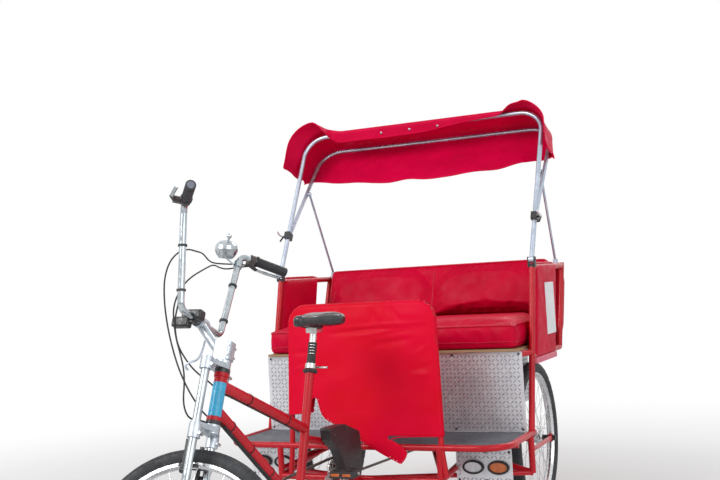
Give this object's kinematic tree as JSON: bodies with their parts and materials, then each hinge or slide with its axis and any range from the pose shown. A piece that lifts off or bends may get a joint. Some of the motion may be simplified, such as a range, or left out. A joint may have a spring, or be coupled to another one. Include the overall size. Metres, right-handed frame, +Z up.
{
  "type": "cycle rickshaw",
  "caption": "Pedal tricycle with a steered front wheel, a driver's saddle and an open passenger cab with a padded bench and a folding hood.",
  "frame": {"origin": "on the floor under the middle of the vehicle's length, at rest", "axes": "-Y ahead, +Y to the rear, +X to the vehicle's left, +Z up"},
  "size_m": [1.268, 2.4472, 1.8156],
  "materials": {
    "frame_red": "glossy red enamel, scratched",
    "hood_alloy": "dull blue-grey tube",
    "tread_plate": "raised diamond tread",
    "floor_rubber": "ribbed mat, dusty",
    "board": "plain plywood",
    "seat_vinyl": "soft red vinyl with piping",
    "hood_vinyl": "coated red cloth, lightly wrinkled",
    "sign_white": "blank sheet",
    "tail_red": "ribbed lens",
    "lamp_clear": "clear ribbed lens in a dark ring",
    "lamp_amber": "amber ribbed lens in a dark ring",
    "steel": "satin",
    "chrome": "worn chrome plating",
    "black_metal": "satin black",
    "black_rubber": "matte",
    "saddle_vinyl": "smooth black cover",
    "chain_steel": "oily links",
    "tyre_rubber": "dusty black with tread",
    "rim_alloy": "polished rim and steel spokes",
    "pedal_plastic": "moulded",
    "grip_rubber": "ribbed"
  },
  "bodies": {
    "frame": {"front_frame": "frame_red", "chassis": "frame_red", "cab_frame": "frame_red", "deck": "floor_rubber", "seat_box_front": "tread_plate", "seat_box_sides": "tread_plate", "seat_board": "board", "seat_cushion": "seat_vinyl", "seat_back": "seat_vinyl", "side_panel_left": "seat_vinyl", "side_panel_right": "seat_vinyl", "side_sign": "sign_white", "back_panel": "seat_vinyl", "tail_plate": "tread_plate", "tail_lamps": "tail_red", "lamp_panels": "tread_plate", "clear_lamps": "lamp_clear", "amber_lamps": "lamp_amber", "apron_hoop": "frame_red", "apron_cover": "seat_vinyl", "hood_brackets": "black_metal", "hood_struts": "hood_alloy", "seatpost": "steel", "seat_collar": "black_metal", "seatpost_boot": "black_rubber", "saddle": "saddle_vinyl", "front_chain": "chain_steel", "rear_chain": "chain_steel", "countershaft": "steel", "rear_axle": "black_metal", "gear_case": "black_metal", "frame_cables": "black_rubber"},
    "steering": {"fork_crowns": "chrome", "headset_cups": "black_metal", "fork_legs": "chrome", "front_axle": "steel", "stem": "chrome", "handlebar": "chrome", "grips": "grip_rubber", "brake_levers": "black_metal", "bell": "chrome", "head_lamp": "black_metal", "rim_brake": "black_metal", "bar_cables": "black_rubber"},
    "front_wheel_body": {"front_tyre": "tyre_rubber", "front_wheel": "rim_alloy"},
    "rear_left_body": {"rear_tyre_left": "tyre_rubber", "rear_wheel_left": "rim_alloy"},
    "rear_right_body": {"rear_tyre_right": "tyre_rubber", "rear_wheel_right": "rim_alloy"},
    "crank_body": {"crankset": "steel"},
    "left_pedal_body": {"pedal_left": "pedal_plastic"},
    "right_pedal_body": {"pedal_right": "pedal_plastic"},
    "hood": {"hood_front_bow": "hood_alloy", "hood_rear_bow": "hood_alloy", "hood_clamps": "black_metal", "hood_cover": "hood_vinyl"}
  },
  "joints": [
    {"name": "steer", "type": "hinge", "parent": "frame", "child": "steering", "pos_m": [0, -0.88134, 0.742], "axis": [0, 0.3907, 0.9205], "range_deg": [0, 160]},
    {"name": "front_wheel_spin", "type": "hinge", "parent": "steering", "child": "front_wheel_body", "pos_m": [-0.02364, -1.07428, 0.29813], "axis": [0.1736, -0.9065, 0.3848], "continuous": true},
    {"name": "rear_left_spin", "type": "hinge", "parent": "frame", "child": "rear_left_body", "pos_m": [0.497, 0.88866, 0.335], "axis": [1, 0, 0], "continuous": true},
    {"name": "rear_right_spin", "type": "hinge", "parent": "frame", "child": "rear_right_body", "pos_m": [-0.497, 0.88866, 0.335], "axis": [1, 0, 0], "continuous": true},
    {"name": "crank_spin", "type": "hinge", "parent": "frame", "child": "crank_body", "pos_m": [0, -0.41134, 0.305], "axis": [1, 0, 0], "continuous": true},
    {"name": "left_pedal_spin", "type": "hinge", "parent": "crank_body", "child": "left_pedal_body", "pos_m": [0.115, -0.26562, 0.39256], "axis": [1, 0, 0], "continuous": true},
    {"name": "right_pedal_spin", "type": "hinge", "parent": "crank_body", "child": "right_pedal_body", "pos_m": [-0.115, -0.55706, 0.21744], "axis": [1, 0, 0], "continuous": true},
    {"name": "hood_fold", "type": "hinge", "parent": "frame", "child": "hood", "pos_m": [0, 0.62666, 1.122], "axis": [-1, 0, 0], "range_deg": [0, 38]}
  ]
}
